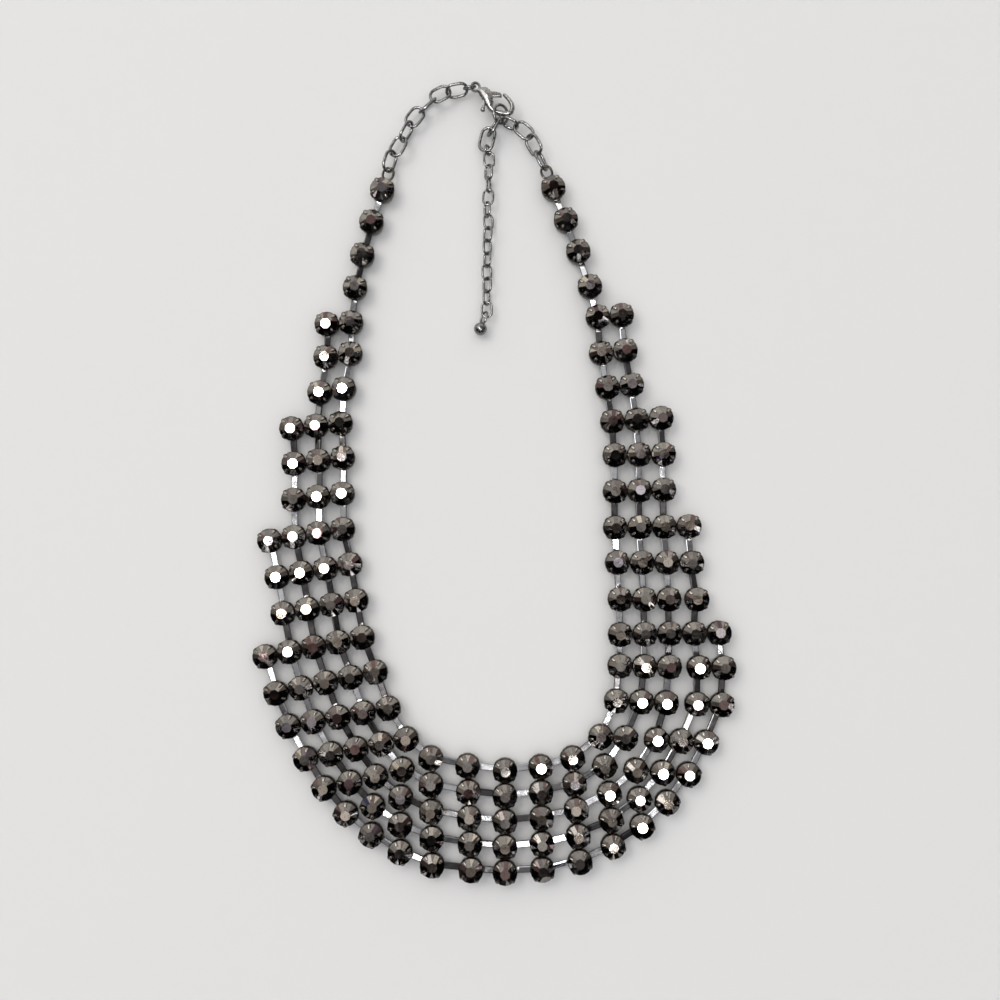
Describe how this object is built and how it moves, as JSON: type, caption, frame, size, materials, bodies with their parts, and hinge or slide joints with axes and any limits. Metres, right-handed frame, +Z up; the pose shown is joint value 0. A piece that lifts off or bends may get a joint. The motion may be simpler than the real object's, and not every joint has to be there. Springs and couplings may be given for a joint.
{
  "type": "rhinestone collar necklace",
  "caption": "Wide collar necklace of dark cut stones in cup chain, lying flat, with link chains, a lobster clasp and an extender ending in a ball.",
  "frame": {"origin": "centre of the lying necklace's footprint, on the surface that it lies on", "axes": "+Y from the wide front of the collar towards the clasp at the back of the neck, +Z up, with the stones' tables facing up"},
  "size_m": [0.1286, 0.216, 0.005],
  "materials": {
    "stones_in_cups": "gloss",
    "gunmetal": "gloss",
    "satin_gunmetal": "satin"
  },
  "bodies": {
    "necklace": {"rhinestone_collar": "stones_in_cups", "left_link_1": "gunmetal", "left_link_2": "gunmetal", "left_link_3": "gunmetal", "left_link_4": "gunmetal", "left_link_5": "gunmetal", "left_link_6": "gunmetal", "left_link_7": "gunmetal", "clasp_ring_1": "gunmetal", "closing_ring": "gunmetal", "right_link_1": "gunmetal", "right_link_2": "gunmetal", "right_link_3": "gunmetal", "right_link_4": "gunmetal", "extender_top_1": "gunmetal", "extender_top_2": "gunmetal", "extender_top_3": "gunmetal", "extender_link_1": "gunmetal", "extender_link_2": "gunmetal", "extender_link_3": "gunmetal", "extender_link_4": "gunmetal", "extender_link_5": "gunmetal", "extender_link_6": "gunmetal", "extender_link_7": "gunmetal", "extender_link_8": "gunmetal", "extender_link_9": "gunmetal", "extender_link_10": "gunmetal", "extender_link_11": "gunmetal", "extender_link_12": "gunmetal", "extender_link_13": "gunmetal", "extender_ball": "gunmetal", "clasp_body": "satin_gunmetal"},
    "lever": {"clasp_lever": "satin_gunmetal"}
  },
  "joints": [
    {"name": "clasp_lever_hinge", "type": "hinge", "parent": "necklace", "child": "lever", "pos_m": [-0.00206, 0.10411, 0.00285], "axis": [0, 0, 1], "range_deg": [-22, 0], "stiffness_Nm_per_rad": 0.02}
  ]
}
